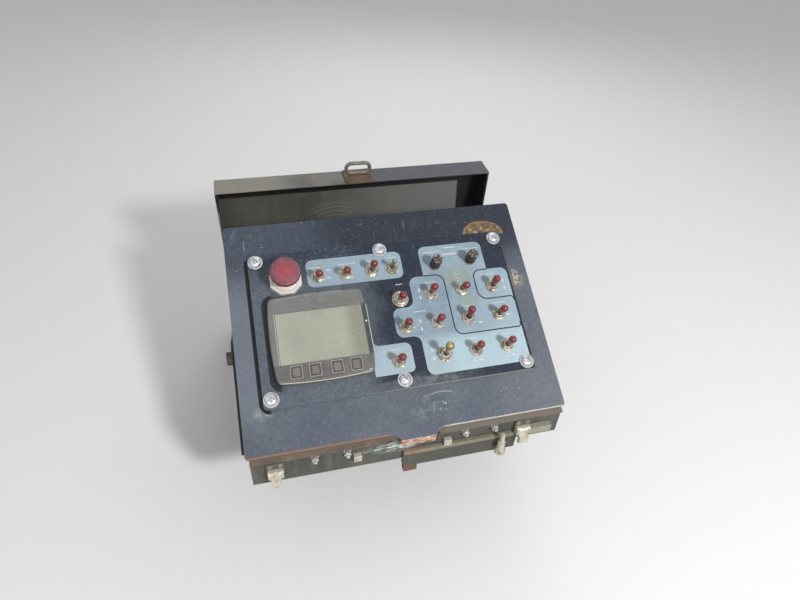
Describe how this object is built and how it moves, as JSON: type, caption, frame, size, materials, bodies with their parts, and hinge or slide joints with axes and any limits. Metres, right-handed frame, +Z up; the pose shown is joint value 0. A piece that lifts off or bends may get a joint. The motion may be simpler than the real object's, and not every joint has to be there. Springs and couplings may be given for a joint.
{
  "type": "screed control box",
  "caption": "Wedge-shaped sheet-metal control console with toggles, knobs, a display and a stop button, and a swing-over guard cover standing open behind.",
  "frame": {"origin": "centre of the four mounting holes on the underside of the mounting plate", "axes": "+Z up, +X to the operator's right, the operator stands on the -Y side"},
  "size_m": [0.4058, 0.4348, 0.324],
  "materials": {
    "tub_front": "worn grey-green paint, rusty edge",
    "tub_chin": "worn grey-green paint",
    "tub_bottom": "worn grey-green paint",
    "tub_back": "worn grey-green paint",
    "tub_sides": "worn grey-green paint",
    "mount_plate": "dirty paint over steel",
    "mount_angle": "dusty paint",
    "face_plate": "satin dark slate paint, scratched",
    "side_rails": "black paint",
    "front_studs": "weathered zinc",
    "front_nuts": "weathered zinc",
    "wall_nuts": "weathered zinc, dust",
    "latch_plates": "worn grey-green paint",
    "latch_rivets": "weathered zinc",
    "latch_bodies": "weathered zinc, dust",
    "latch_catches": "weathered zinc, dust",
    "end_bar": "dusty cream paint",
    "hanger_bolt": "weathered zinc, dust",
    "lock_lug": "rusty steel",
    "control_panel": "satin navy-black overlay",
    "legend_pads": "printed light blue-grey",
    "panel_washers": "zinc",
    "panel_screws": "bright zinc",
    "display_housing": "smoky dark plastic",
    "display_glass": "grey-green display, off",
    "soft_keys": "dark membrane keys",
    "display_lamp": "clear lamp lens",
    "stop_ring": "bare metal",
    "stop_collar": "black",
    "stop_head": "faded red",
    "switch_bodies": "dull nickel",
    "switch_washers": "dull nickel",
    "switch_nuts": "dull nickel",
    "switch_levers": "nickel",
    "lever_caps": "dark red vinyl",
    "brass_ball": "tarnished brass",
    "knob_bushings": "dull nickel",
    "knobs": "brown-black plastic, dusty top",
    "cable_gland": "black nylon",
    "gland_nut": "black nylon",
    "pivot_spacers": "dull zinc",
    "pivot_bolts": "dull zinc",
    "pivot_nuts": "dull zinc",
    "stop_pins": "dull zinc",
    "cover_pan": "dusty olive-grey paint",
    "cover_arms": "dark paint",
    "arm_bolts": "dull zinc",
    "lock_base": "rusty steel",
    "lock_eye": "worn steel"
  },
  "bodies": {
    "box": {"tub_front": "tub_front", "tub_chin": "tub_chin", "tub_bottom": "tub_bottom", "tub_back": "tub_back", "tub_sides": "tub_sides", "mount_plate": "mount_plate", "mount_angle": "mount_angle", "face_plate": "face_plate", "side_rails": "side_rails", "front_studs": "front_studs", "front_nuts": "front_nuts", "wall_nuts": "wall_nuts", "latch_plates": "latch_plates", "latch_rivets": "latch_rivets", "latch_bodies": "latch_bodies", "latch_catches": "latch_catches", "end_bar": "end_bar", "hanger_bolt": "hanger_bolt", "lock_lug": "lock_lug", "control_panel": "control_panel", "legend_pads": "legend_pads", "panel_washers": "panel_washers", "panel_screws": "panel_screws", "display_housing": "display_housing", "display_glass": "display_glass", "soft_keys": "soft_keys", "display_lamp": "display_lamp", "stop_ring": "stop_ring", "stop_collar": "stop_collar", "stop_head": "stop_head", "switch_bodies": "switch_bodies", "switch_washers": "switch_washers", "switch_nuts": "switch_nuts", "switch_levers": "switch_levers", "lever_caps": "lever_caps", "brass_ball": "brass_ball", "knob_bushings": "knob_bushings", "knobs": "knobs", "cable_gland": "cable_gland", "gland_nut": "gland_nut", "pivot_spacers": "pivot_spacers", "pivot_bolts": "pivot_bolts", "pivot_nuts": "pivot_nuts", "stop_pins": "stop_pins"},
    "cover": {"cover_pan": "cover_pan", "cover_arms": "cover_arms", "arm_bolts": "arm_bolts", "lock_base": "lock_base", "lock_eye": "lock_eye"}
  },
  "joints": [
    {"name": "cover_hinge", "type": "hinge", "parent": "box", "child": "cover", "pos_m": [0, 0.07828, 0.02772], "axis": [1, 0, 0], "range_deg": [0, 116]}
  ]
}
